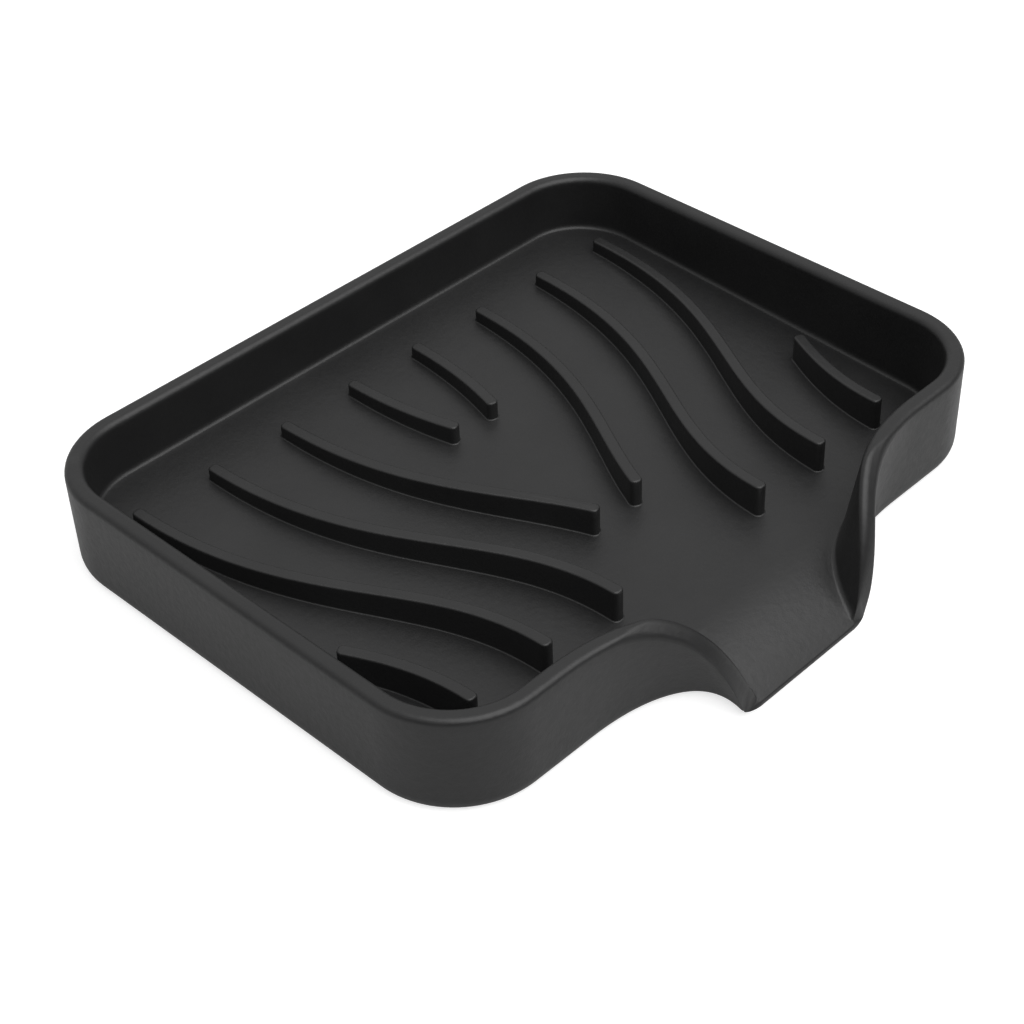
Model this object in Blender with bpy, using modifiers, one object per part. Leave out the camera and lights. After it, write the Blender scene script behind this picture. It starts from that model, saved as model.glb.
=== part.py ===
"""Soap tray: a shallow moulded tray with a sloping floor, curved ribs and a pouring spout.

X runs along the tray, +Y points to its back wall and +Z up.
The origin is the centre of the flat underside, in the plane that the tray rests on.
"""
from math import atan, cos, pi, radians, sin, sqrt

import bmesh
import bpy
from mathutils import Vector

# Body: a rounded rectangle with an upright wall
BODY_LENGTH = 0.120
BODY_WIDTH = 0.090
CORNER_RADIUS = 0.015
RIM_HEIGHT = 0.0167
WALL_THICKNESS = 0.003
WALL_DRAFT_SHARE = 0.007
RIM_EDGE_RADIUS = 0.0008
BASE_EDGE_RADIUS = 0.00225
FLOOR_FILLET = 0.0005
LAND_SHARE = 1.5
ROUNDED_MOST_SHARE = 0.45

# Floor: a plane that falls from the back wall to the front wall
FLOOR_BACK_HEIGHT = 0.0070
FLOOR_FRONT_HEIGHT = 0.00275

# Spout: its half widths are measured where its flanks cross the resting plane
SPOUT_REACH = 0.0101
SPOUT_ROOT_HALF_WIDTH = 0.0345
SPOUT_TIP_HALF_WIDTH = 0.0150
CHANNEL_ROOT_HALF_WIDTH = 0.0375
CHANNEL_TIP_HALF_WIDTH = 0.0120
OUTER_LEAN_SHARE = 0.385
INNER_LEAN_SHARE = 0.435
OUTER_HANDLE_SHARES = (0.53, 0.72)
INNER_HANDLE_SHARES = (0.63, 0.78)
RIM_FALL_START = 0.0013
RIM_FALL_POWER_SHARE = 1.9
CHANNEL_FALL_START = 0.0015
UNDERSIDE_FALL_START = 0.0005
LIP_DROP = 0.0031
LIP_THICKNESS = 0.0004
TIP_CORNER_RADIUS = 0.0012
TIP_EDGE_RADIUS = 0.0009
FLANK_END_SHARE = 0.95
LIP_INSET_SHARES = (0.09, 0.045, 0, 0, 0.05, 0.10)

# Ribs: one S-curve, repeated across each half of the tray, some of them cut short.
# The margins run from the inner faces of the walls to the ends and centre lines of the ribs.
RIB_WIDTH = 0.0020
RIB_TOP_HEIGHT = 0.0086
RIB_BACK_MARGIN = 0.00935
RIB_FRONT_MARGIN = 0.0085
RIB_SIDE_MARGIN = 0.0065
RIB_CENTRE_OFFSET = 0.0070
RIB_SWEEP = 0.0201
RIB_HANDLE_SHARES = (0.529, 0.3585)
CENTRE_RIB_SHARE = 0.32
INNER_RIB_SHARE = 0.772
SIDE_RIB_SHARE = 0.313
RIB_END_RADIUS = 0.0005
RIB_TOP_EDGE_RADIUS = 0.0003
RIB_SEAT_GAP = 0.0003

# How finely round stretches are divided
CORNER_STEPS = 12
FLANK_STEPS = 20
TIP_STEPS = 6
LIP_STEPS = 4
EDGE_STEPS = 4
RIB_STEPS = 30
RIB_EDGE_STEPS = 2
HALVINGS = 40
SMOOTH_ANGLE = radians(35)
MERGE_DISTANCE = 0.00001

SILICONE_COLOUR = (0.045, 0.045, 0.047, 1)
SILICONE_ROUGHNESS = 0.55

HALF_LENGTH = BODY_LENGTH / 2
HALF_WIDTH = BODY_WIDTH / 2
INNER_HALF_LENGTH = HALF_LENGTH - WALL_THICKNESS
INNER_HALF_WIDTH = HALF_WIDTH - WALL_THICKNESS
FLOOR_SLOPE = (FLOOR_BACK_HEIGHT - FLOOR_FRONT_HEIGHT) / (2 * INNER_HALF_WIDTH)
LIP_Y = -(HALF_WIDTH + SPOUT_REACH)
LIP_BOTTOM = -(LIP_DROP + LIP_THICKNESS)
RIM_START_Y = -(INNER_HALF_WIDTH + RIM_FALL_START)
CHANNEL_START_Y = -(INNER_HALF_WIDTH + CHANNEL_FALL_START)
UNDERSIDE_START_Y = -(HALF_WIDTH + UNDERSIDE_FALL_START)

# Each half has four ribs from near the back wall and one beside them near the front corner
RIBS_FROM_BACK = 4
RIB_BACK_Y = INNER_HALF_WIDTH - RIB_BACK_MARGIN
RIB_FRONT_Y = RIB_FRONT_MARGIN - INNER_HALF_WIDTH
OUTER_RIB_X = INNER_HALF_LENGTH - RIB_SIDE_MARGIN
RIB_PITCH = (OUTER_RIB_X - RIB_CENTRE_OFFSET) / (RIBS_FROM_BACK - 1)


def blend(first, last, share):
    """Value at a share of the way between two values."""
    return first + (last - first) * share


def cubic(points, share):
    """Point at a share of the way along a cubic curve with four control points."""
    rest = 1 - share
    weights = (rest ** 3, 3 * rest ** 2 * share, 3 * rest * share ** 2, share ** 3)
    return sum((point * weight for point, weight in zip(points, weights)), Vector((0, 0)))


def cubic_direction(points, share):
    """Unit direction of travel along a cubic curve."""
    rest = 1 - share
    legs = [after - before for before, after in zip(points, points[1:])]
    weights = (rest ** 2, 2 * rest * share, share ** 2)
    return sum((leg * weight for leg, weight in zip(legs, weights)), Vector((0, 0))).normalized()


def round_corner(before, corner, after, radius, steps):
    """Points of a rounded corner, tangent to the lines from it to its two neighbours."""
    back = before - corner
    ahead = after - corner
    back *= min(radius / back.length, ROUNDED_MOST_SHARE)
    ahead *= min(radius / ahead.length, ROUNDED_MOST_SHARE)
    points = []
    for step in range(steps + 1):
        turn = pi / 2 * step / steps
        points.append(corner + back * (1 - sin(turn)) + ahead * (1 - cos(turn)))
    return points


def arc_fall(past, reach, drop):
    """How far an arc has fallen, when it starts level and falls by drop over reach."""
    if past <= 0:
        return 0
    radius = (reach ** 2 + drop ** 2) / (2 * drop)
    return radius - sqrt(max(radius ** 2 - past ** 2, 0))


def floor_plane(y):
    """Height of the sloping floor, extended beyond the walls."""
    return FLOOR_FRONT_HEIGHT + FLOOR_SLOPE * (y + INNER_HALF_WIDTH)


def channel_floor(y):
    """Height of the floor, which curves down to the lip."""
    drop = floor_plane(LIP_Y) + LIP_DROP
    return floor_plane(y) - arc_fall(CHANNEL_START_Y - y, CHANNEL_START_Y - LIP_Y, drop)


def underside(y):
    """Height of the underside: the resting plane, then a curve down to the lip."""
    return -arc_fall(UNDERSIDE_START_Y - y, UNDERSIDE_START_Y - LIP_Y, -LIP_BOTTOM)


def rim_height(y, tip_height):
    """Height of the rim, which falls ever more steeply towards the lip."""
    share = (RIM_START_Y - y) / (RIM_START_Y - LIP_Y)
    if share <= 0:
        return RIM_HEIGHT
    level = max(1 - share ** RIM_FALL_POWER_SHARE, 0) ** (1 / RIM_FALL_POWER_SHARE)
    return blend(tip_height, RIM_HEIGHT, level)


def flank_curve(root, tip, handle_shares):
    """Control points of one flank of the spout, level at its root and square to the lip."""
    root_handle = Vector((blend(root.x, tip.x, handle_shares[0]), root.y))
    tip_handle = Vector((tip.x, blend(tip.y, root.y, handle_shares[1])))
    return (root, root_handle, tip_handle, tip)


OUTER_FLANK = flank_curve(
    Vector((SPOUT_ROOT_HALF_WIDTH, -HALF_WIDTH)),
    Vector((SPOUT_TIP_HALF_WIDTH, LIP_Y)),
    OUTER_HANDLE_SHARES)
INNER_FLANK = flank_curve(
    Vector((CHANNEL_ROOT_HALF_WIDTH, -INNER_HALF_WIDTH)),
    Vector((CHANNEL_TIP_HALF_WIDTH, LIP_Y)),
    INNER_HANDLE_SHARES)


def at_height(point, height, lean_share=0):
    """Point of an outline at a height, on a wall that may lean away from the channel."""
    return Vector((point.x + lean_share * height, point.y, height))


def wall_corners(outer, outward):
    """Corners of the upright wall: underside, base, outer rim, inner rim, foot and floor."""
    base = outer - outward * WALL_DRAFT_SHARE * RIM_HEIGHT
    below = base - outward * BASE_EDGE_RADIUS * LAND_SHARE
    inner = outer - outward * WALL_THICKNESS
    on_floor = inner - outward * FLOOR_FILLET * LAND_SHARE
    return [
        at_height(below, 0),
        at_height(base, 0),
        at_height(outer, RIM_HEIGHT),
        at_height(inner, RIM_HEIGHT),
        at_height(inner, floor_plane(inner.y)),
        at_height(on_floor, floor_plane(on_floor.y))]


def flank_corners(share):
    """The same corners on the spout's side wall, at a share of the way to the lip."""
    outer = cubic(OUTER_FLANK, share)
    inner = cubic(INNER_FLANK, share)
    outer_along = cubic_direction(OUTER_FLANK, share)
    inner_along = cubic_direction(INNER_FLANK, share)
    outward = Vector((-outer_along.y, outer_along.x))
    inward = Vector((inner_along.y, -inner_along.x))
    foot = at_height(inner, channel_floor(inner.y), INNER_LEAN_SHARE)
    on_floor = foot.xy + inward * FLOOR_FILLET * LAND_SHARE
    draft = WALL_DRAFT_SHARE * RIM_HEIGHT * (1 - share)
    drafted = outer - outward * draft
    base = at_height(drafted, underside(drafted.y), OUTER_LEAN_SHARE)
    below = base.xy - outward * blend(BASE_EDGE_RADIUS, TIP_EDGE_RADIUS, share) * LAND_SHARE
    return [
        at_height(below, underside(below.y)),
        base,
        at_height(outer, rim_height(outer.y, LIP_BOTTOM), OUTER_LEAN_SHARE),
        at_height(inner, rim_height(inner.y, -LIP_DROP), INNER_LEAN_SHARE),
        foot,
        at_height(on_floor, channel_floor(on_floor.y))]


def lip_corners(widths):
    """The same corners along the lip, where the wall has shrunk to the lip's front face."""
    ys = [LIP_Y + SPOUT_REACH * share for share in LIP_INSET_SHARES]
    heights = [underside(ys[0]), underside(ys[1]), LIP_BOTTOM, -LIP_DROP]
    heights += [channel_floor(ys[4]), channel_floor(ys[5])]
    return [Vector(place) for place in zip(widths, ys, heights)]


def bent_path(start, corner, end, steps):
    """Points of two straight runs that meet in a sharp corner."""
    half = steps // 2
    first = [start.lerp(corner, step / half) for step in range(half)]
    return first + [corner.lerp(end, step / half) for step in range(half + 1)]


def tip_sections(flank_end, widths):
    """Corners of the sections that turn from the flank to the lip."""
    at_corner = lip_corners(widths)
    at_lip = lip_corners([width - TIP_CORNER_RADIUS for width in widths])
    paths = []
    last = len(widths) - 1
    for index, (start, corner, end) in enumerate(zip(flank_end, at_corner, at_lip)):
        if index in (0, last):
            paths.append(bent_path(start, corner, end, TIP_STEPS))
            continue
        path = []
        for step in range(TIP_STEPS + 1):
            turn = pi / 2 * step / TIP_STEPS
            path.append(corner + (start - corner) * (1 - sin(turn)) + (end - corner) * (1 - cos(turn)))
        paths.append(path)
    return [list(corners) for corners in zip(*paths)][1:]


def shell_sections():
    """Corners and edge radii of every section, from the middle of the back to that of the lip."""
    corner_x = HALF_LENGTH - CORNER_RADIUS
    corner_y = HALF_WIDTH - CORNER_RADIUS
    sections = [wall_corners(Vector((0, HALF_WIDTH)), Vector((0, 1)))]
    for centre_y, first_turn in ((corner_y, pi / 2), (-corner_y, 0)):
        for step in range(CORNER_STEPS + 1):
            turn = first_turn - pi / 2 * step / CORNER_STEPS
            outward = Vector((cos(turn), sin(turn)))
            sections.append(wall_corners(Vector((corner_x, centre_y)) + outward * CORNER_RADIUS, outward))
    base_radii = [BASE_EDGE_RADIUS] * len(sections)
    flank_start = len(sections)
    for step in range(FLANK_STEPS + 1):
        share = FLANK_END_SHARE * step / FLANK_STEPS
        sections.append(flank_corners(share))
        base_radii.append(blend(BASE_EDGE_RADIUS, TIP_EDGE_RADIUS, share))
    sections += tip_sections(sections[-1], [corner.x for corner in flank_corners(1)])
    lip_widths = [corner.x for corner in sections[-1]]
    for step in range(1, LIP_STEPS + 1):
        sections.append(lip_corners([width * (1 - step / LIP_STEPS) for width in lip_widths]))
    base_radii += [TIP_EDGE_RADIUS] * (len(sections) - len(base_radii))
    return sections, base_radii, flank_start


def section_outline(corners, base_radius):
    """A section's corners with its four edges rounded."""
    radii = (base_radius, RIM_EDGE_RADIUS, RIM_EDGE_RADIUS, FLOOR_FILLET)
    outline = [corners[0]]
    for index, radius in enumerate(radii, start=1):
        outline += round_corner(corners[index - 1], corners[index], corners[index + 1], radius, EDGE_STEPS)
    return outline + [corners[-1]]


def fill_side(mesh, loop, rows, height_at, facing_up):
    """Close the floor or the underside: rows of quads over the spout, and one flat face behind."""
    front = [vert.co.x / rows[-1][0].co.x for vert in rows[-1]]
    grid = []
    for row in rows[:-1]:
        edge = row[0].co
        height = height_at(edge.y)
        grid.append([row[0]] + [mesh.verts.new((edge.x * share, edge.y, height)) for share in front[1:]])
    grid.append(rows[-1])
    for upper, lower in zip(grid, grid[1:]):
        for left in range(len(upper) - 1):
            face = [upper[left], upper[left + 1], lower[left + 1], lower[left]]
            mesh.faces.new(face if facing_up else reversed(face))
    flat = loop + grid[0][1:]
    mesh.faces.new(reversed(flat) if facing_up else flat)


def shell_mesh():
    """Half of the shell, open at the middle plane, as a loft between unlike sections."""
    sections, base_radii, flank_start = shell_sections()
    mesh = bmesh.new()
    rings = []
    for corners, base_radius in zip(sections, base_radii):
        rings.append([mesh.verts.new(point) for point in section_outline(corners, base_radius)])
    for ring, following in zip(rings, rings[1:]):
        for index in range(len(ring) - 1):
            mesh.faces.new((ring[index], ring[index + 1], following[index + 1], following[index]))
    tip_middle = flank_start + FLANK_STEPS + TIP_STEPS // 2
    for index, start_y, height_at, facing_up in (
            (-1, CHANNEL_START_Y, channel_floor, True),
            (0, UNDERSIDE_START_Y, underside, False)):
        edge = [ring[index] for ring in rings]
        first_row = max(place for place in range(tip_middle) if edge[place].co.y >= start_y)
        rows = [[edge[place]] for place in range(first_row, tip_middle)] + [edge[tip_middle:]]
        fill_side(mesh, edge[:first_row + 1], rows, height_at, facing_up)
    data = bpy.data.meshes.new("tray_shell")
    mesh.to_mesh(data)
    mesh.free()
    return data


def silicone(name):
    """Matt black silicone."""
    material = bpy.data.materials.new(name)
    material.use_nodes = True
    shader = material.node_tree.nodes["Principled BSDF"]
    shader.inputs["Base Color"].default_value = SILICONE_COLOUR
    shader.inputs["Roughness"].default_value = SILICONE_ROUGHNESS
    shader.inputs["Metallic"].default_value = 0
    return material


def add_object(name, data, collection, parent):
    """New object in a collection, under the tray's empty."""
    thing = bpy.data.objects.new(name, data)
    collection.objects.link(thing)
    thing.parent = parent
    return thing


def add_shell(collection, parent):
    """Wall, floor and spout, which are one continuous moulding."""
    data = shell_mesh()
    data.materials.append(silicone("shell_silicone"))
    shell = add_object("tray_shell", data, collection, parent)
    mirror = shell.modifiers.new("both_halves", 'MIRROR')
    mirror.use_clip = True
    mirror.merge_threshold = MERGE_DISTANCE
    data.shade_smooth()
    data.set_sharp_from_angle(angle=SMOOTH_ANGLE)
    return shell


def rib_curve(side):
    """Control points of a rib's centre line, from its back end, on one side of the tray."""
    sweep = -side * RIB_SWEEP
    back_handle = blend(RIB_BACK_Y, RIB_FRONT_Y, RIB_HANDLE_SHARES[0])
    front_handle = blend(RIB_FRONT_Y, RIB_BACK_Y, RIB_HANDLE_SHARES[1])
    points = ((0, RIB_BACK_Y), (0, back_handle), (sweep, front_handle), (sweep, RIB_FRONT_Y))
    return [Vector(point) for point in points]


def share_at(points, y):
    """Share of the way along a curve that runs forwards at which it reaches a y."""
    low, high = 0, 1
    for _ in range(HALVINGS):
        middle = (low + high) / 2
        if cubic(points, middle).y > y:
            low = middle
        else:
            high = middle
    return low


def rib_outline(side, back_y, front_y):
    """Outline of one rib seen from above, with rounded ends."""
    points = rib_curve(side)
    first = share_at(points, back_y)
    last = share_at(points, front_y)
    steps = round(RIB_STEPS * (back_y - front_y) / (RIB_BACK_Y - RIB_FRONT_Y))
    left = []
    right = []
    for step in range(steps + 1):
        share = blend(first, last, step / steps)
        centre = cubic(points, share)
        along = cubic_direction(points, share)
        across = Vector((along.y, -along.x)) * RIB_WIDTH / 2
        left.append(centre - across)
        right.append(centre + across)
    corners = left + right[::-1]
    sharp = (0, len(left) - 1, len(left), len(corners) - 1)
    outline = []
    for index, corner in enumerate(corners):
        if index in sharp:
            after = corners[(index + 1) % len(corners)]
            outline += round_corner(corners[index - 1], corner, after, RIB_END_RADIUS, EDGE_STEPS)
        else:
            outline.append(corner)
    return outline


def rib_mesh(name, outline, collection):
    """A rib as an extruded outline with rounded upper edges, before its foot is cut."""
    curve = bpy.data.curves.new(name, 'CURVE')
    curve.dimensions = '2D'
    curve.fill_mode = 'BOTH'
    curve.extrude = RIB_TOP_HEIGHT / 2 - RIB_TOP_EDGE_RADIUS
    curve.bevel_depth = RIB_TOP_EDGE_RADIUS
    curve.bevel_resolution = RIB_EDGE_STEPS - 1
    curve.offset = -RIB_TOP_EDGE_RADIUS
    spline = curve.splines.new('POLY')
    spline.points.add(len(outline) - 1)
    for target, point in zip(spline.points, outline):
        target.co = (point.x, point.y, 0, 1)
    spline.use_cyclic_u = True
    guide = bpy.data.objects.new(name + "_outline", curve)
    collection.objects.link(guide)
    guide.location.z = RIB_TOP_HEIGHT / 2
    bpy.context.view_layer.update()
    evaluated = guide.evaluated_get(bpy.context.evaluated_depsgraph_get())
    data = bpy.data.meshes.new_from_object(evaluated)
    data.transform(guide.matrix_world)
    mesh = bmesh.new()
    mesh.from_mesh(data)
    bmesh.ops.remove_doubles(mesh, verts=mesh.verts, dist=MERGE_DISTANCE)
    mesh.to_mesh(data)
    mesh.free()
    bpy.data.objects.remove(guide)
    return data


def add_rib(name, side, place, spans, collection, parent, cutter):
    """One rib, at its place from the middle of the tray, cut to stand on the floor."""
    data = rib_mesh(name, rib_outline(side, *spans), collection)
    data.name = name
    data.materials.clear()
    data.materials.append(silicone(name + "_silicone"))
    rib = add_object(name, data, collection, parent)
    rib.location.x = side * (RIB_CENTRE_OFFSET + place * RIB_PITCH)
    cut = rib.modifiers.new("foot_on_floor", 'BOOLEAN')
    cut.operation = 'DIFFERENCE'
    cut.object = cutter
    data.shade_smooth()
    data.set_sharp_from_angle(angle=SMOOTH_ANGLE)
    return rib


def add_floor_cutter(collection):
    """A block whose top lies a seating gap above the sloping floor."""
    bpy.ops.mesh.primitive_cube_add(size=1)
    cutter = bpy.context.object
    cutter.name = "floor_cutter"
    cutter.scale = (BODY_LENGTH, BODY_WIDTH, RIB_TOP_HEIGHT)
    bpy.ops.object.transform_apply(location=False, rotation=False, scale=True)
    slope = atan(FLOOR_SLOPE)
    cutter.rotation_euler.x = slope
    depth = RIB_TOP_HEIGHT / 2
    top = floor_plane(0) + RIB_SEAT_GAP
    cutter.location = (0, depth * sin(slope), top - depth * cos(slope))
    cutter.hide_render = True
    cutter.display_type = 'WIRE'
    for home in list(cutter.users_collection):
        home.objects.unlink(cutter)
    collection.objects.link(cutter)
    return cutter


def new_collection(name):
    """New collection in the scene."""
    collection = bpy.data.collections.new(name)
    bpy.context.scene.collection.children.link(collection)
    return collection


def main():
    """Build the tray's shell and its ten ribs."""
    for thing in list(bpy.data.objects):
        bpy.data.objects.remove(thing)
    parts = new_collection("soap_tray")
    cutters = new_collection("cutters")
    tray = bpy.data.objects.new("soap_tray_origin", None)
    parts.objects.link(tray)
    add_shell(parts, tray)
    cutter = add_floor_cutter(cutters)
    full = (RIB_BACK_Y, RIB_FRONT_Y)
    spans = (
        (RIB_BACK_Y, blend(RIB_BACK_Y, RIB_FRONT_Y, CENTRE_RIB_SHARE)),
        (RIB_BACK_Y, blend(RIB_BACK_Y, RIB_FRONT_Y, INNER_RIB_SHARE)),
        full,
        full,
        (blend(RIB_FRONT_Y, RIB_BACK_Y, SIDE_RIB_SHARE), RIB_FRONT_Y))
    for side in (-1, 1):
        for place, span in enumerate(spans):
            number = len(spans) - place if side < 0 else len(spans) + 1 + place
            add_rib(f"drain_rib_{number:02d}", side, place, span, parts, tray, cutter)


main()
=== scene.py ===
"""Looks of a black silicone soap tray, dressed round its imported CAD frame.

Every length is in metres, in the frame's own axes: X along the tray, +Y to its back wall, +Z up.
"""
from math import cos, pi, radians, sin, sqrt

import bmesh
import bpy
from mathutils import Matrix, Vector


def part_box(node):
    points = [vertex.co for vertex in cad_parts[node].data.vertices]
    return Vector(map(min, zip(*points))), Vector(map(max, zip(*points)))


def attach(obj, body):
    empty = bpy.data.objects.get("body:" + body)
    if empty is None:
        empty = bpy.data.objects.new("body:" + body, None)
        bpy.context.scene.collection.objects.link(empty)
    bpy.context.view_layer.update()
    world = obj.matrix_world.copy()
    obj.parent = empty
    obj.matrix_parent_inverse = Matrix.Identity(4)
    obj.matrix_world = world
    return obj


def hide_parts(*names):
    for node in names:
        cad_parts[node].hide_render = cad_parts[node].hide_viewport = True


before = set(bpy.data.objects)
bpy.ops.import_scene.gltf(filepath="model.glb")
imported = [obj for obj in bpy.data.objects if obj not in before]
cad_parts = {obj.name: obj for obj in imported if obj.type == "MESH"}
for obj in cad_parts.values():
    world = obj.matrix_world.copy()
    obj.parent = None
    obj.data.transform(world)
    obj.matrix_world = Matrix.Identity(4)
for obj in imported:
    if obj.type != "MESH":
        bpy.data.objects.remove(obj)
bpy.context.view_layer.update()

SHELL_LOW, SHELL_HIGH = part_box("tray_shell")
FULL_RIB_LOW, FULL_RIB_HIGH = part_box("drain_rib_09")
_, NEXT_RIB_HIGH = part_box("drain_rib_08")

QUARTER_TURN = pi / 2
WHITE = (1, 1, 1, 1)

# Body of the shell
HALF_LENGTH = 0.060
HALF_WIDTH = 0.045
RIM_HEIGHT = SHELL_HIGH.z
CORNER_RADIUS = 0.015
WALL_THICKNESS = 0.003
WALL_DRAFT_SHARE = 0.007
RIM_OUTER_RADIUS = 0.0010
RIM_INNER_RADIUS = 0.0011
FLANK_OUTER_RADIUS = 0.0007
FLANK_INNER_RADIUS = 0.0022
BASE_EDGE_RADIUS = 0.00225
FLOOR_FILLET = 0.0010
INNER_HALF_WIDTH = HALF_WIDTH - WALL_THICKNESS

# Most that a rounded edge takes: of the rim's top, outside and inside, and of any other side
RIM_SHARES = (0.36, 0.62)
SIDE_SHARE = 0.45

# How far a section reaches onto the floor and the underside, in radii of the edge there
LAND_SHARE = 1.5

# Floor, which slopes to the front
FLOOR_BACK_HEIGHT = 0.0070
FLOOR_FRONT_HEIGHT = 0.00275
FLOOR_SLOPE = (FLOOR_BACK_HEIGHT - FLOOR_FRONT_HEIGHT) / (2 * INNER_HALF_WIDTH)

# Spout
LIP_Y = SHELL_LOW.y
LIP_TOP = -0.00275
LIP_THICKNESS = 0.0007
LIP_BOTTOM = LIP_TOP - LIP_THICKNESS
SPOUT_ROOT_HALF_WIDTH = 0.0340
SPOUT_TIP_HALF_WIDTH = 0.01493
CHANNEL_ROOT_HALF_WIDTH = 0.03344
CHANNEL_TIP_HALF_WIDTH = 0.01202
OUTER_LEAN_SHARE = 0.3432
INNER_LEAN_SHARE = 0.3449
OUTER_HANDLE_SHARES = (0.740, 0.487)
INNER_HANDLE_SHARES = (0.645, 0.590)
FLANK_END_SHARE = 0.94

# Fall of the rim, the channel and the underside along the spout
RIM_START_REACH = 0.00072
RIM_START_Y = -(HALF_WIDTH + RIM_START_REACH)
RIM_END_SETBACK = 0.00055
RIM_END_Y = LIP_Y + RIM_END_SETBACK
RIM_BEND_SOFTNESS = 0.0003
RIM_EVEN_SHARE = 0.5
RIM_FALL_POWER = 2.651
CHANNEL_START_SETBACK = 0.0009
CHANNEL_START_Y = -(INNER_HALF_WIDTH - CHANNEL_START_SETBACK)
UNDERSIDE_START_REACH = 0.00125
UNDERSIDE_START_Y = -(HALF_WIDTH + UNDERSIDE_START_REACH)
UNDERSIDE_FALL_POWER = 3.205

# Tips, where the flanks turn into the lip, and the lip's edge
TIP_OUTER_RADIUS = 0.00299
TIP_INNER_RADIUS = 0.0006
TIP_EDGE_RADIUS = 0.0003
TIP_FOOT_RADIUS = 0.0022
LIP_BASE_INSET = 0.0003
LIP_FOOT_INSET = 0.0004
LIP_LAND = 0.0007
LIP_LOWER_RADIUS = 0.0001
LIP_UPPER_RADIUS = 0.0003

# Ribs
RIB_WIDTH = 0.0020
RIB_TOP_HEIGHT = FULL_RIB_HIGH.z
RIB_BACK_Y = FULL_RIB_HIGH.y
RIB_FRONT_Y = FULL_RIB_LOW.y
RIB_SWEEP = FULL_RIB_HIGH.x - FULL_RIB_LOW.x - RIB_WIDTH
RIB_PITCH = FULL_RIB_HIGH.x - NEXT_RIB_HIGH.x
FULL_RIB_X = FULL_RIB_HIGH.x - RIB_WIDTH / 2
RIB_HANDLE_SHARES = (0.529, 0.3585)
RIB_END_RADIUS = 0.0008
RIB_TOP_EDGE_RADIUS = 0.00035
RIB_FOOT_FILLET = 0.0002
RIB_FOOT_DEPTH = 0.0002
RIB_FOOT_LIFT = 0.000002
RIB_TOP_LAND = 0.0001

# Places of four corners of a section; the base comes after the first, the foot before the last
BELOW, OUTER_RIM, INNER_RIM, ON_FLOOR = 0, 2, 3, 5

# How finely round stretches are divided
RUN_STEPS = 12
CORNER_STEPS = 24
FLANK_STEPS = 64
TIP_STEPS = 32
LIP_STEPS = 16
BASE_STEPS = 10
WALL_STEPS = 8
RIM_STEPS = 8
TOP_STEPS = 8
INNER_WALL_STEPS = 8
FOOT_STEPS = 6
RIB_STEPS = 90
RIB_END_STEPS = 6
RIB_WALL_STEPS = 4
RIB_EDGE_STEPS = 5
HALVINGS = 40
TINY = 0.000001
MIRROR_MERGE_DISTANCE = 0.00001

# Camera, fitted to the tray's outline in the photograph
IMAGE_WIDTH = 1024
SENSOR_WIDTH = 36
FOCAL_PIXELS = 2129.4
CAMERA_SHIFT = (-0.0297, -0.0195)
CAMERA_AZIMUTH = radians(-45.420)
CAMERA_ELEVATION = radians(38.650)
CAMERA_ROLL = radians(-1.662)
CAMERA_DISTANCE = 0.331573
CAMERA_RIGHT = 0.002041
CAMERA_UP = -0.000783
CAMERA_CLIP = (0.01, 10)

# Light: a bright disc high in front of the tray, under a dim sky that brightens upwards
SOFTBOX_AZIMUTH = radians(280)
SOFTBOX_ELEVATION = radians(63)
SOFTBOX_DISTANCE = 1.2
SOFTBOX_RADIUS = 0.82
SOFTBOX_POWER = 15.9
SKY_LEVEL = 0.195
SKY_GRADIENT = (0.06, 0.27, 0.40)

# Silicone
SILICONE_IOR = 1.5
DEEP_BLACK = (0.011, 0.011, 0.0112, 1)
BLOOM_BLACK = (0.015, 0.015, 0.0152, 1)
RUBBED_BLACK = (0.019, 0.019, 0.0192, 1)
RUBBED_ROUGHNESS = 0.40
RUBBED_POINTINESS = {"From Min": 0.53, "From Max": 0.62}
UNEVEN_RANGE = {"From Min": 0.35, "From Max": 0.65, "To Min": 0.3, "To Max": 1}
MATT_RANGE = {"From Min": 0.3, "From Max": 0.7, "To Min": 0.41, "To Max": 0.47}
NOISE_CHARACTER = {"Detail": 3, "Roughness": 0.6}
CLOUD_RANGE = (0.3, 0.7)
CLOUD_SCALE = 70
MOTTLE_SCALE = 900
GRAIN_SCALE = 4200
MOTTLE_STRENGTH = 0.4
MOTTLE_DEPTH = 0.00012
GRAIN_STRENGTH = 0.3
GRAIN_DEPTH = 0.00004

# Counter that the tray rests on, with its rounded front edge under the spout. The two lifts
# make it white for the camera and paler in reflections.
COUNTER_HALF_LENGTH = 0.9
COUNTER_BACK_Y = 0.9
COUNTER_EDGE_SETBACK = 0.0005
COUNTER_EDGE_Y = -(HALF_WIDTH - COUNTER_EDGE_SETBACK)
COUNTER_EDGE_RADIUS = 0.012
COUNTER_DROP = 0.05
COUNTER_FRONT_Y = -0.9
COUNTER_EDGE_STEPS = 24
COUNTER_SHADE = 0.545
COUNTER_ROUGHNESS = 0.9
COUNTER_LIFT = 0.7
COUNTER_GLOSS_LIFT = 0.12


def blend(first, last, share):
    """Value at a share of the way between two values."""
    return first + (last - first) * share


def cubic(points, share):
    """Point at a share of the way along a cubic curve with four control points."""
    rest = 1 - share
    weights = (rest ** 3, 3 * rest ** 2 * share, 3 * rest * share ** 2, share ** 3)
    return sum((point * weight for point, weight in zip(points, weights)), Vector((0, 0)))


def cubic_direction(points, share):
    """Unit direction of travel along a cubic curve."""
    rest = 1 - share
    legs = [after - before for before, after in zip(points, points[1:])]
    weights = (rest ** 2, 2 * rest * share, share ** 2)
    return sum((leg * weight for leg, weight in zip(legs, weights)), Vector((0, 0))).normalized()


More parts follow.
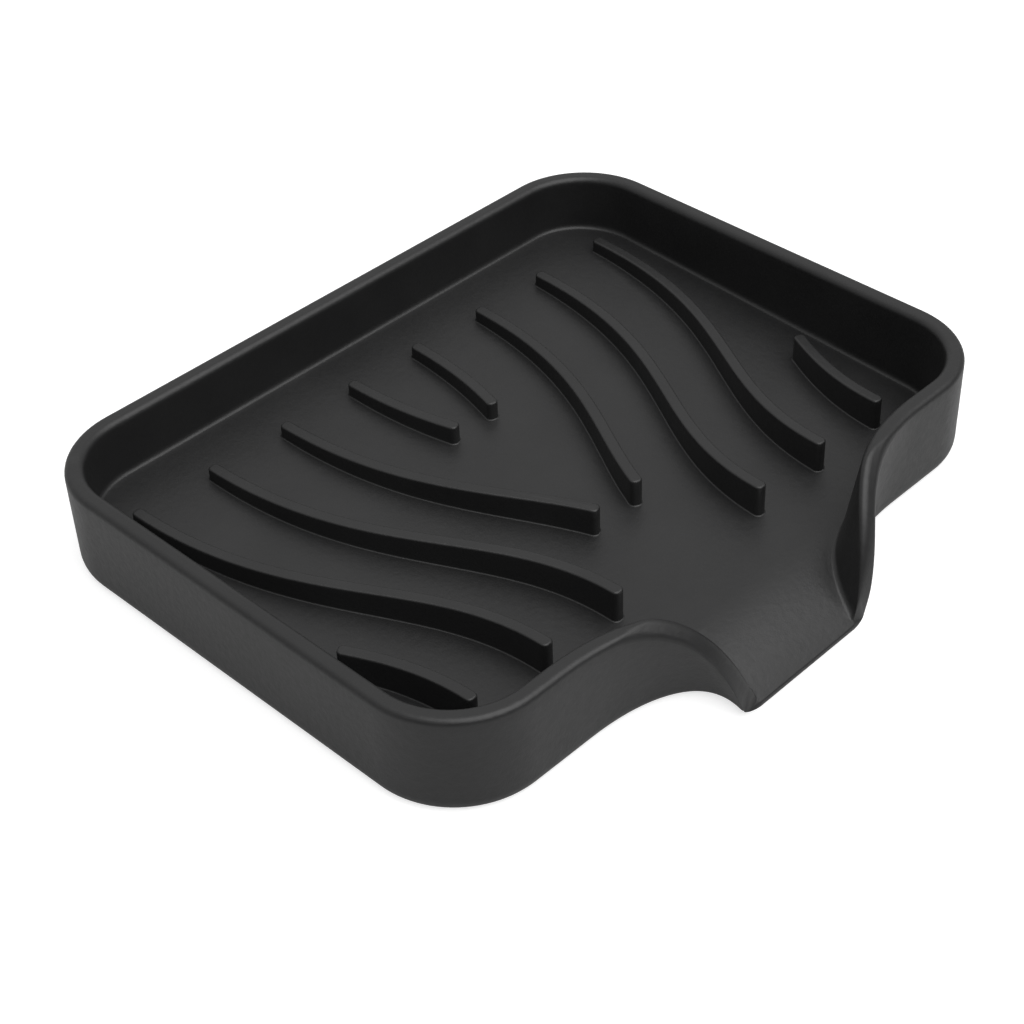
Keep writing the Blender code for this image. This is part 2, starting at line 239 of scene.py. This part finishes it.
def round_corner(before, corner, after, radius, most_shares, steps):
    """Points of a rounded corner, which takes at most a share of the lines to its neighbours."""
    back = before - corner
    ahead = after - corner
    back *= min(radius / back.length, most_shares[0])
    ahead *= min(radius / ahead.length, most_shares[1])
    points = []
    for step in range(steps + 1):
        turn = QUARTER_TURN * step / steps
        points.append(corner + back * (1 - sin(turn)) + ahead * (1 - cos(turn)))
    return points


def floor_plane(y):
    """Height of the sloping floor, extended beyond the walls."""
    return FLOOR_FRONT_HEIGHT + FLOOR_SLOPE * (y + INNER_HALF_WIDTH)


def channel_floor(y):
    """Height of the floor, which falls ever more steeply to the lip."""
    drop = floor_plane(LIP_Y) - LIP_TOP
    share = max(CHANNEL_START_Y - y, 0) / (CHANNEL_START_Y - LIP_Y)
    return floor_plane(y) - drop * share ** 2


def underside(y):
    """Height of the underside: the resting plane, then a curve down to the lip."""
    share = max(UNDERSIDE_START_Y - y, 0) / (UNDERSIDE_START_Y - LIP_Y)
    return LIP_BOTTOM * share ** UNDERSIDE_FALL_POWER


def rim_height(y, surface_height):
    """Height of the rim, which bends down in front of the wall and ends on a surface at the lip."""
    past = RIM_START_Y - y
    past = (past + sqrt(past ** 2 + RIM_BEND_SOFTNESS ** 2)) / 2
    share = min(past / (RIM_START_Y - RIM_END_Y), 1)
    steep_fall = 1 - (1 - share ** RIM_FALL_POWER) ** (1 / RIM_FALL_POWER)
    return blend(RIM_HEIGHT, surface_height, blend(steep_fall, share, RIM_EVEN_SHARE))


def flank_curve(root, tip, handle_shares):
    """Control points of one flank of the spout, level at its root and square to the lip."""
    root_handle = Vector((blend(root.x, tip.x, handle_shares[0]), root.y))
    tip_handle = Vector((tip.x, blend(tip.y, root.y, handle_shares[1])))
    return (root, root_handle, tip_handle, tip)


OUTER_FLANK = flank_curve(
    Vector((SPOUT_ROOT_HALF_WIDTH, -HALF_WIDTH)),
    Vector((SPOUT_TIP_HALF_WIDTH, LIP_Y)),
    OUTER_HANDLE_SHARES)
INNER_FLANK = flank_curve(
    Vector((CHANNEL_ROOT_HALF_WIDTH, -INNER_HALF_WIDTH)),
    Vector((CHANNEL_TIP_HALF_WIDTH, LIP_Y)),
    INNER_HANDLE_SHARES)


def at_height(point, height, lean_share=0):
    """Point of an outline at a height, on a wall that may lean away from the channel."""
    return Vector((point.x + lean_share * height, point.y, height))


def wall_corners(outer, outward):
    """Corners of the upright wall: underside, base, outer rim, inner rim, foot and floor."""
    base = outer - outward * WALL_DRAFT_SHARE * RIM_HEIGHT
    below = base - outward * BASE_EDGE_RADIUS * LAND_SHARE
    inner = outer - outward * WALL_THICKNESS
    on_floor = inner - outward * FLOOR_FILLET * LAND_SHARE
    return [
        at_height(below, 0),
        at_height(base, 0),
        at_height(outer, RIM_HEIGHT),
        at_height(inner, RIM_HEIGHT),
        at_height(inner, channel_floor(inner.y)),
        at_height(on_floor, channel_floor(on_floor.y))]


def spout_corners(outer, inner, outer_away, inner_away, turned):
    """The same corners on the spout, which has turned by a share from its flank to its lip."""
    foot_plan = inner - inner_away * LIP_FOOT_INSET * turned
    foot = at_height(foot_plan, channel_floor(foot_plan.y), INNER_LEAN_SHARE)
    on_floor = foot.xy - inner_away * blend(FLOOR_FILLET * LAND_SHARE, LIP_LAND, turned)
    draft = blend(WALL_DRAFT_SHARE * RIM_HEIGHT, LIP_BASE_INSET, turned)
    drafted = outer - outer_away * draft
    base = at_height(drafted, underside(drafted.y), OUTER_LEAN_SHARE)
    below = base.xy - outer_away * blend(BASE_EDGE_RADIUS * LAND_SHARE, LIP_LAND, turned)
    return [
        at_height(below, underside(below.y)),
        base,
        at_height(outer, rim_height(outer.y, underside(outer.y)), OUTER_LEAN_SHARE),
        at_height(inner, rim_height(inner.y, channel_floor(inner.y)), INNER_LEAN_SHARE),
        foot,
        at_height(on_floor, channel_floor(on_floor.y))]


def flank_corners(share):
    """The same corners on the spout's side wall, at a share of the way to the lip."""
    outer_along = cubic_direction(OUTER_FLANK, share)
    inner_along = cubic_direction(INNER_FLANK, share)
    outer_away = Vector((-outer_along.y, outer_along.x))
    inner_away = Vector((-inner_along.y, inner_along.x))
    outer = cubic(OUTER_FLANK, share)
    inner = cubic(INNER_FLANK, share)
    return spout_corners(outer, inner, outer_away, inner_away, 0)


def turned_place(points, turn, radius):
    """Place on a flank that rounds the corner to the lip, and the direction that it faces."""
    start = cubic(points, FLANK_END_SHARE)
    y = blend(LIP_Y, start.y, 1 - sin(turn))
    place = cubic(points, share_at(points, y))
    place.x -= radius * (1 - cos(turn))
    along = cubic_direction(points, FLANK_END_SHARE)
    away = Vector((-along.y, along.x)) * cos(turn) + Vector((0, -1)) * sin(turn)
    return place, away.normalized()


def tip_sections():
    """Corners and edge radii of the sections that turn from the flank to the lip."""
    flank_end = flank_corners(FLANK_END_SHARE)
    sections = []
    radii = []
    for step in range(1, TIP_STEPS + 1):
        turn = QUARTER_TURN * step / TIP_STEPS
        outer, outer_away = turned_place(OUTER_FLANK, turn, TIP_OUTER_RADIUS)
        inner, inner_away = turned_place(INNER_FLANK, turn, TIP_INNER_RADIUS)
        turned = 1 - cos(turn)
        sections.append(spout_corners(outer, inner, outer_away, inner_away, turned))
        radii.append((
            TIP_EDGE_RADIUS,
            blend(FLANK_OUTER_RADIUS, LIP_LOWER_RADIUS, turned),
            blend(FLANK_INNER_RADIUS, LIP_UPPER_RADIUS, turned),
            blend(FLOOR_FILLET, TIP_FOOT_RADIUS, sin(turn))))
    for index, height_at in ((BELOW, underside), (ON_FLOOR, channel_floor)):
        lead_round_tip(sections, flank_end[index], index, height_at)
    return sections, radii


def lead_round_tip(sections, start, index, height_at):
    """Put one corner of the tip's sections evenly on a bent line, so that none of them cross."""
    half = TIP_STEPS // 2
    end = sections[-1][index]
    bend = Vector((max(blend(start.x, end.x, 0.5), end.x), end.y))
    for step, corners in enumerate(sections, start=1):
        if step <= half:
            place = start.xy.lerp(bend, step / half)
        else:
            place = bend.lerp(end.xy, step / half - 1)
        corners[index] = at_height(place, height_at(place.y))


def straight_sections(start, end, outward):
    """Wall sections inside a straight run, without its two ends."""
    places = [start.lerp(end, step / RUN_STEPS) for step in range(1, RUN_STEPS)]
    return [wall_corners(place, outward) for place in places]


def corner_sections(centre, first_turn):
    """Wall sections round a corner of the body, a quarter turn clockwise from a first angle."""
    sections = []
    for step in range(CORNER_STEPS + 1):
        turn = first_turn - QUARTER_TURN * step / CORNER_STEPS
        outward = Vector((cos(turn), sin(turn)))
        sections.append(wall_corners(centre + outward * CORNER_RADIUS, outward))
    return sections


def wall_sections():
    """Wall sections from the middle of the back to where the front wall's corner ends."""
    corner_x = HALF_LENGTH - CORNER_RADIUS
    corner_y = HALF_WIDTH - CORNER_RADIUS
    back = Vector((0, 1))
    right = Vector((1, 0))
    back_middle = Vector((0, HALF_WIDTH))
    side_start = Vector((HALF_LENGTH, corner_y))
    side_end = Vector((HALF_LENGTH, -corner_y))
    return [
        wall_corners(back_middle, back),
        *straight_sections(back_middle, Vector((corner_x, HALF_WIDTH)), back),
        *corner_sections(Vector((corner_x, corner_y)), QUARTER_TURN),
        *straight_sections(side_start, side_end, right),
        *corner_sections(Vector((corner_x, -corner_y)), 0)]


def shell_sections():
    """Corners and edge radii of all sections to the middle of the lip, and the flank's first."""
    sections = wall_sections()
    radii = [(BASE_EDGE_RADIUS, RIM_OUTER_RADIUS, RIM_INNER_RADIUS, FLOOR_FILLET)] * len(sections)
    flank_start = len(sections)
    for step in range(FLANK_STEPS + 1):
        share = step / FLANK_STEPS
        sections.append(flank_corners(FLANK_END_SHARE * share))
        radii.append((
            blend(BASE_EDGE_RADIUS, TIP_EDGE_RADIUS, share ** 2),
            blend(RIM_OUTER_RADIUS, FLANK_OUTER_RADIUS, share),
            blend(RIM_INNER_RADIUS, FLANK_INNER_RADIUS, share),
            FLOOR_FILLET))
    for found, added in zip((sections, radii), tip_sections()):
        found += added
    lip_end = sections[-1]
    for step in range(1, LIP_STEPS + 1):
        width = Vector((1 - step / LIP_STEPS, 1, 1))
        sections.append([corner * width for corner in lip_end])
        radii.append(radii[-1])
    return sections, radii, flank_start


def section_outline(corners, base_radius, outer_radius, inner_radius, foot_radius):
    """A section's corners with its four edges rounded and its long sides divided."""
    edges = (
        (base_radius, (SIDE_SHARE, SIDE_SHARE), BASE_STEPS, WALL_STEPS),
        (outer_radius, (SIDE_SHARE, RIM_SHARES[0]), RIM_STEPS, TOP_STEPS),
        (inner_radius, (RIM_SHARES[1], SIDE_SHARE), RIM_STEPS, INNER_WALL_STEPS),
        (foot_radius, (SIDE_SHARE, SIDE_SHARE), FOOT_STEPS, 1))
    rounded = []
    for index, (radius, most_shares, steps, _) in enumerate(edges):
        rounded.append(round_corner(*corners[index:index + 3], radius, most_shares, steps))
    outline = [corners[0]]
    for index, points in enumerate(rounded):
        outline += points
        if index + 1 < len(rounded):
            run_steps = edges[index][3]
            ahead = rounded[index + 1][0]
            outline += [points[-1].lerp(ahead, step / run_steps) for step in range(1, run_steps)]
    return outline + [corners[-1]]


def follow_rim(outline, outer, inner):
    """Give each point of a section's top the height that the rim has at its own place."""
    first = BASE_STEPS + WALL_STEPS + 1
    for point in outline[first:first + 2 * RIM_STEPS + TOP_STEPS + 1]:
        share = min(max((point.y - outer.y) / max(inner.y - outer.y, TINY), 0), 1)
        surface = blend(underside(point.y), channel_floor(point.y), share)
        lift = rim_height(point.y, surface) - blend(outer.z, inner.z, share)
        point.x += lift * blend(OUTER_LEAN_SHARE, INNER_LEAN_SHARE, share)
        point.z += lift


def fill_side(mesh, loop, rows, height_at, facing_up):
    """Close the floor or the underside: rows of quads over the spout, and one flat face behind."""
    front = [vert.co.x / rows[-1][0].co.x for vert in rows[-1]]
    grid = []
    for row in rows[:-1]:
        edge = row[0].co
        places = [(edge.x * share, edge.y, height_at(edge.y)) for share in front[1:]]
        grid.append([row[0]] + [mesh.verts.new(place) for place in places])
    grid.append(rows[-1])
    for upper, lower in zip(grid, grid[1:]):
        for left in range(len(upper) - 1):
            face = [upper[left], upper[left + 1], lower[left + 1], lower[left]]
            mesh.faces.new(face if facing_up else reversed(face))
    flat = loop + grid[0][1:]
    mesh.faces.new(reversed(flat) if facing_up else flat)


def shell_mesh(name):
    """Half of the shell, open at the middle plane, as a loft between unlike sections."""
    sections, radii, flank_start = shell_sections()
    mesh = bmesh.new()
    rings = []
    for place, (corners, edge_radii) in enumerate(zip(sections, radii)):
        outline = section_outline(corners, *edge_radii)
        if flank_start <= place <= flank_start + FLANK_STEPS:
            follow_rim(outline, corners[OUTER_RIM], corners[INNER_RIM])
        rings.append([mesh.verts.new(point) for point in outline])
    for ring, following in zip(rings, rings[1:]):
        for index in range(len(ring) - 1):
            mesh.faces.new((ring[index], ring[index + 1], following[index + 1], following[index]))
    tip_middle = flank_start + FLANK_STEPS + TIP_STEPS // 2
    for index, start_y, height_at, facing_up in (
            (-1, CHANNEL_START_Y, channel_floor, True),
            (0, UNDERSIDE_START_Y, underside, False)):
        edge = [ring[index] for ring in rings]
        first_row = max(place for place in range(tip_middle) if edge[place].co.y >= start_y)
        rows = [[edge[place]] for place in range(first_row, tip_middle)] + [edge[tip_middle:]]
        fill_side(mesh, edge[:first_row + 1], rows, height_at, facing_up)
    bmesh.ops.remove_doubles(mesh, verts=mesh.verts, dist=TINY)
    return finished_mesh(mesh, name)


def finished_mesh(mesh, name):
    """Mesh data from a bmesh, shaded smooth."""
    data = bpy.data.meshes.new(name)
    mesh.to_mesh(data)
    mesh.free()
    data.shade_smooth()
    return data


def add_piece(name, data, material, *nodes):
    """New piece of the tray, which stands for CAD nodes and rides on the tray's body."""
    data.materials.append(material)
    piece = bpy.data.objects.new(name, data)
    bpy.context.scene.collection.objects.link(piece)
    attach(piece, "root")
    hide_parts(*nodes)
    return piece


def add_shell(material):
    """Wall, floor and spout in one continuous skin."""
    shell = add_piece("shell_skin", shell_mesh("shell_skin"), material, "tray_shell")
    mirror = shell.modifiers.new("both_halves", 'MIRROR')
    mirror.use_clip = True
    mirror.merge_threshold = MIRROR_MERGE_DISTANCE


def rib_curve(side):
    """Control points of a rib's centre line, from its back end, on one side of the tray."""
    sweep = -side * RIB_SWEEP
    back_handle = blend(RIB_BACK_Y, RIB_FRONT_Y, RIB_HANDLE_SHARES[0])
    front_handle = blend(RIB_FRONT_Y, RIB_BACK_Y, RIB_HANDLE_SHARES[1])
    points = ((0, RIB_BACK_Y), (0, back_handle), (sweep, front_handle), (sweep, RIB_FRONT_Y))
    return [Vector(point) for point in points]


def share_at(points, y):
    """Share of the way along a curve that runs forwards at which it reaches a y."""
    low, high = 0, 1
    for _ in range(HALVINGS):
        middle = (low + high) / 2
        if cubic(points, middle).y > y:
            low = middle
        else:
            high = middle
    return low


def rib_end(centre, across, heading):
    """Points of a rib's end, from one side over two round corners, with where each faces."""
    points = []
    rising = range(1, RIB_END_STEPS + 1)
    for half, steps in ((1, rising), (-1, reversed(rising))):
        middle = centre + across * half * (RIB_WIDTH / 2 - RIB_END_RADIUS)
        for step in steps:
            turn = QUARTER_TURN * step / RIB_END_STEPS
            away = across * half * cos(turn) + heading * sin(turn)
            points.append((middle + away * RIB_END_RADIUS, away))
    return points


def rib_outline(side, back_y, front_y):
    """Points of a rib's outline seen from above, with the direction that each faces."""
    points = rib_curve(side)
    first = share_at(points, back_y)
    last = share_at(points, front_y)
    steps = round(RIB_STEPS * (back_y - front_y) / (RIB_BACK_Y - RIB_FRONT_Y))
    inset = RIB_END_RADIUS / (back_y - front_y)
    outline = []
    for facing in (1, -1):
        for step in range(steps + 1):
            along_share = blend(inset, 1 - inset, step / steps)
            if facing < 0:
                along_share = 1 - along_share
            share = blend(first, last, along_share)
            centre = cubic(points, share)
            along = cubic_direction(points, share)
            across = Vector((-along.y, along.x)) * facing
            outline.append((centre + across * RIB_WIDTH / 2, across))
        outline += rib_end(centre, across, along * facing)
    return outline


def rib_profile(floor_height):
    """How far out and how high each ring of a rib lies, from inside the floor to the flat top."""
    side_top = RIB_TOP_HEIGHT - RIB_TOP_EDGE_RADIUS
    side_foot = floor_height + RIB_FOOT_FILLET
    rings = [(RIB_FOOT_FILLET, floor_height - RIB_FOOT_DEPTH)]
    for step in range(RIB_EDGE_STEPS + 1):
        turn = QUARTER_TURN * step / RIB_EDGE_STEPS
        height = floor_height + RIB_FOOT_LIFT + RIB_FOOT_FILLET * (1 - cos(turn))
        rings.append((RIB_FOOT_FILLET * (1 - sin(turn)), height))
    for step in range(1, RIB_WALL_STEPS):
        rings.append((0, blend(side_foot, side_top, step / RIB_WALL_STEPS)))
    for step in range(RIB_EDGE_STEPS + 1):
        turn = QUARTER_TURN * step / RIB_EDGE_STEPS
        height = side_top + RIB_TOP_EDGE_RADIUS * sin(turn)
        rings.append((RIB_TOP_EDGE_RADIUS * (cos(turn) - 1), height))
    rings.append((-RIB_TOP_EDGE_RADIUS - RIB_TOP_LAND, RIB_TOP_HEIGHT))
    return rings


def rib_mesh(name, x, side, back_y, front_y):
    """A rib that grows out of the floor with a small fillet and has soft upper edges."""
    mesh = bmesh.new()
    columns = []
    for place, away in rib_outline(side, back_y, front_y):
        column = []
        for out, height in rib_profile(floor_plane(place.y)):
            spot = place + away * out
            lift = floor_plane(spot.y) - floor_plane(place.y) if out > 0 else 0
            column.append(mesh.verts.new((x + spot.x, spot.y, height + lift)))
        columns.append(column)
    for column, following in zip(columns, columns[1:] + columns[:1]):
        for ring in range(len(column) - 1):
            mesh.faces.new((column[ring], column[ring + 1], following[ring + 1], following[ring]))
    mesh.faces.new([column[-1] for column in columns])
    mesh.faces.new([column[0] for column in reversed(columns)])
    bmesh.ops.recalc_face_normals(mesh, faces=mesh.faces)
    return finished_mesh(mesh, name)


def add_ribs(material):
    """The ten ribs, each in the place and with the length of its CAD node."""
    names = sorted(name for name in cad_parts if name.startswith("drain_rib"))
    half = len(names) // 2
    full_place = names.index("drain_rib_09") - half
    for index, node in enumerate(names):
        side = -1 if index < half else 1
        place = half - 1 - index if side < 0 else index - half
        x = side * (FULL_RIB_X + (place - full_place) * RIB_PITCH)
        low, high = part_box(node)
        name = node + "_skin"
        data = rib_mesh(name, x, side, min(high.y, RIB_BACK_Y), max(low.y, RIB_FRONT_Y))
        add_piece(name, data, material, node)


def add_node(tree, kind, values=(), **settings):
    """New shader node with some settings and input values."""
    node = tree.nodes.new(kind)
    for setting, value in settings.items():
        setattr(node, setting, value)
    for socket, value in dict(values).items():
        node.inputs[socket].default_value = value
    return node


def add_noise(tree, place, scale):
    """Output of a noise of a scale, laid over the piece's own coordinates."""
    noise = add_node(tree, "ShaderNodeTexNoise", {"Scale": scale, **NOISE_CHARACTER})
    tree.links.new(place, noise.inputs["Vector"])
    return noise.outputs["Fac"]


def add_bump(tree, height, strength, depth, normal=None):
    """Normal that a height raises, on top of another normal where there is one."""
    bump = add_node(tree, "ShaderNodeBump", {"Strength": strength, "Distance": depth})
    tree.links.new(height, bump.inputs["Height"])
    if normal is not None:
        tree.links.new(normal, bump.inputs["Normal"])
    return bump.outputs["Normal"]


def rubbed_edges(tree, mottle):
    """How much the silicone is rubbed: only on outward edges, and unevenly along them."""
    pointed = add_node(tree, "ShaderNodeNewGeometry").outputs["Pointiness"]
    edge = add_node(tree, "ShaderNodeMapRange", RUBBED_POINTINESS)
    tree.links.new(pointed, edge.inputs["Value"])
    uneven = add_node(tree, "ShaderNodeMapRange", UNEVEN_RANGE)
    tree.links.new(mottle, uneven.inputs["Value"])
    rubbed = add_node(tree, "ShaderNodeMath", operation='MULTIPLY')
    tree.links.new(edge.outputs["Result"], rubbed.inputs[0])
    tree.links.new(uneven.outputs["Result"], rubbed.inputs[1])
    return rubbed.outputs["Value"]


def silicone_colour(tree, clouds, rubbed):
    """Deep black with faint clouds of paler bloom, palest where it is rubbed."""
    tone = add_node(tree, "ShaderNodeValToRGB")
    stops = zip(tone.color_ramp.elements, CLOUD_RANGE, (DEEP_BLACK, BLOOM_BLACK))
    for stop, position, color in stops:
        stop.position = position
        stop.color = color
    tree.links.new(clouds, tone.inputs["Fac"])
    worn = add_node(tree, "ShaderNodeMixRGB", {"Color2": RUBBED_BLACK})
    tree.links.new(rubbed, worn.inputs["Fac"])
    tree.links.new(tone.outputs["Color"], worn.inputs["Color1"])
    return worn.outputs["Color"]


def silicone_roughness(tree, mottle, rubbed):
    """Matt and slightly uneven, and smoother where it is rubbed."""
    matt = add_node(tree, "ShaderNodeMapRange", MATT_RANGE)
    tree.links.new(mottle, matt.inputs["Value"])
    polish = add_node(tree, "ShaderNodeMapRange", {"To Max": RUBBED_ROUGHNESS})
    tree.links.new(rubbed, polish.inputs["Value"])
    tree.links.new(matt.outputs["Result"], polish.inputs["To Min"])
    return polish.outputs["Result"]


def silicone():
    """Matt black silicone: fine grain, soft mottling, faint clouds of bloom and rubbed edges."""
    material = bpy.data.materials.new("black_silicone")
    material.use_nodes = True
    tree = material.node_tree
    shader = tree.nodes["Principled BSDF"]
    shader.inputs["Metallic"].default_value = 0
    shader.inputs["IOR"].default_value = SILICONE_IOR
    place = add_node(tree, "ShaderNodeTexCoord").outputs["Object"]
    clouds = add_noise(tree, place, CLOUD_SCALE)
    mottle = add_noise(tree, place, MOTTLE_SCALE)
    grain = add_noise(tree, place, GRAIN_SCALE)
    rubbed = rubbed_edges(tree, mottle)
    uneven = add_bump(tree, mottle, MOTTLE_STRENGTH, MOTTLE_DEPTH)
    surface = {
        "Base Color": silicone_colour(tree, clouds, rubbed),
        "Roughness": silicone_roughness(tree, mottle, rubbed),
        "Normal": add_bump(tree, grain, GRAIN_STRENGTH, GRAIN_DEPTH, uneven)}
    for socket, output in surface.items():
        tree.links.new(output, shader.inputs[socket])
    return material


def add_camera():
    """The camera of the photograph, placed by its angles round the tray's origin."""
    back = Vector((
        sin(CAMERA_AZIMUTH) * cos(CAMERA_ELEVATION),
        -cos(CAMERA_AZIMUTH) * cos(CAMERA_ELEVATION),
        sin(CAMERA_ELEVATION)))
    right = Vector((cos(CAMERA_AZIMUTH), sin(CAMERA_AZIMUTH), 0))
    up = back.cross(right)
    data = bpy.data.cameras.new("photo_camera")
    data.sensor_width = SENSOR_WIDTH
    data.lens = FOCAL_PIXELS / IMAGE_WIDTH * SENSOR_WIDTH
    data.shift_x, data.shift_y = CAMERA_SHIFT
    data.clip_start, data.clip_end = CAMERA_CLIP
    camera = bpy.data.objects.new("photo_camera", data)
    bpy.context.scene.collection.objects.link(camera)
    turned_right = right * cos(CAMERA_ROLL) + up * sin(CAMERA_ROLL)
    turned_up = up * cos(CAMERA_ROLL) - right * sin(CAMERA_ROLL)
    turn = Matrix((turned_right, turned_up, back)).transposed()
    place = back * CAMERA_DISTANCE + right * CAMERA_RIGHT + up * CAMERA_UP
    camera.matrix_world = Matrix.Translation(place) @ turn.to_4x4()
    bpy.context.scene.camera = camera


def counter_profile():
    """Side view of the counter: flat top, rounded front edge and the floor below it."""
    radius = COUNTER_EDGE_RADIUS
    points = [Vector((COUNTER_BACK_Y, 0))]
    for step in range(COUNTER_EDGE_STEPS + 1):
        turn = QUARTER_TURN * step / COUNTER_EDGE_STEPS
        points.append(Vector((COUNTER_EDGE_Y - radius * sin(turn), radius * (cos(turn) - 1))))
    for step in range(COUNTER_EDGE_STEPS + 1):
        turn = QUARTER_TURN * step / COUNTER_EDGE_STEPS
        y = COUNTER_EDGE_Y - radius * (2 - cos(turn))
        points.append(Vector((y, -COUNTER_DROP + radius * (1 - sin(turn)))))
    points.append(Vector((COUNTER_FRONT_Y, -COUNTER_DROP)))
    return points


def add_counter():
    """Pale counter that carries the tray and bounces light onto its walls."""
    mesh = bmesh.new()
    rows = []
    for point in counter_profile():
        ends = (-COUNTER_HALF_LENGTH, COUNTER_HALF_LENGTH)
        rows.append([mesh.verts.new((x, point.x, point.y)) for x in ends])
    for row, following in zip(rows, rows[1:]):
        mesh.faces.new((row[0], following[0], following[1], row[1]))
    counter = bpy.data.objects.new("counter", finished_mesh(mesh, "counter"))
    bpy.context.scene.collection.objects.link(counter)
    counter.data.materials.append(counter_white())


def counter_white():
    """Plain pale grey, lifted to white for the camera so that only the soft shadow shows on it."""
    material = bpy.data.materials.new("counter_white")
    material.use_nodes = True
    tree = material.node_tree
    shader = tree.nodes["Principled BSDF"]
    shader.inputs["Base Color"].default_value = (COUNTER_SHADE, COUNTER_SHADE, COUNTER_SHADE, 1)
    shader.inputs["Roughness"].default_value = COUNTER_ROUGHNESS
    shader.inputs["Specular IOR Level"].default_value = 0
    shader.inputs["Emission Color"].default_value = WHITE
    path = add_node(tree, "ShaderNodeLightPath")
    lift = add_node(tree, "ShaderNodeMapRange", {"To Max": COUNTER_GLOSS_LIFT})
    tree.links.new(path.outputs["Is Glossy Ray"], lift.inputs["Value"])
    seen = add_node(tree, "ShaderNodeMapRange", {"To Max": COUNTER_LIFT})
    tree.links.new(path.outputs["Is Camera Ray"], seen.inputs["Value"])
    tree.links.new(lift.outputs["Result"], seen.inputs["To Min"])
    tree.links.new(seen.outputs["Result"], shader.inputs["Emission Strength"])
    return material


def add_world():
    """Sky that brightens upwards and to the back, and plain white for the camera."""
    world = bpy.data.worlds.new("studio")
    bpy.context.scene.world = world
    world.use_nodes = True
    tree = world.node_tree
    link = tree.links.new
    background = tree.nodes["Background"]
    background.inputs["Color"].default_value = WHITE
    direction = add_node(tree, "ShaderNodeTexCoord").outputs["Generated"]
    slope = add_node(tree, "ShaderNodeVectorMath", {1: SKY_GRADIENT}, operation='DOT_PRODUCT')
    link(direction, slope.inputs[0])
    sky = add_node(tree, "ShaderNodeMath", {1: SKY_LEVEL}, operation='ADD', use_clamp=True)
    link(slope.outputs["Value"], sky.inputs[0])
    seen = add_node(tree, "ShaderNodeLightPath").outputs["Is Camera Ray"]
    level = add_node(tree, "ShaderNodeMapRange", {"To Max": 1})
    link(seen, level.inputs["Value"])
    link(sky.outputs["Value"], level.inputs["To Min"])
    link(level.outputs["Result"], background.inputs["Strength"])


def add_softbox():
    """Round soft light, aimed at the tray."""
    data = bpy.data.lights.new("softbox", 'AREA')
    data.shape = 'DISK'
    data.size = 2 * SOFTBOX_RADIUS
    data.energy = SOFTBOX_POWER
    light = bpy.data.objects.new("softbox", data)
    bpy.context.scene.collection.objects.link(light)
    direction = Vector((
        cos(SOFTBOX_ELEVATION) * cos(SOFTBOX_AZIMUTH),
        cos(SOFTBOX_ELEVATION) * sin(SOFTBOX_AZIMUTH),
        sin(SOFTBOX_ELEVATION)))
    light.location = direction * SOFTBOX_DISTANCE
    light.rotation_mode = 'QUATERNION'
    light.rotation_quaternion = direction.to_track_quat('Z', 'Y')


def main():
    """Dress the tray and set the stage."""
    material = silicone()
    add_shell(material)
    add_ribs(material)
    add_counter()
    add_world()
    add_softbox()
    add_camera()
    bpy.context.scene.view_settings.view_transform = 'Standard'


main()
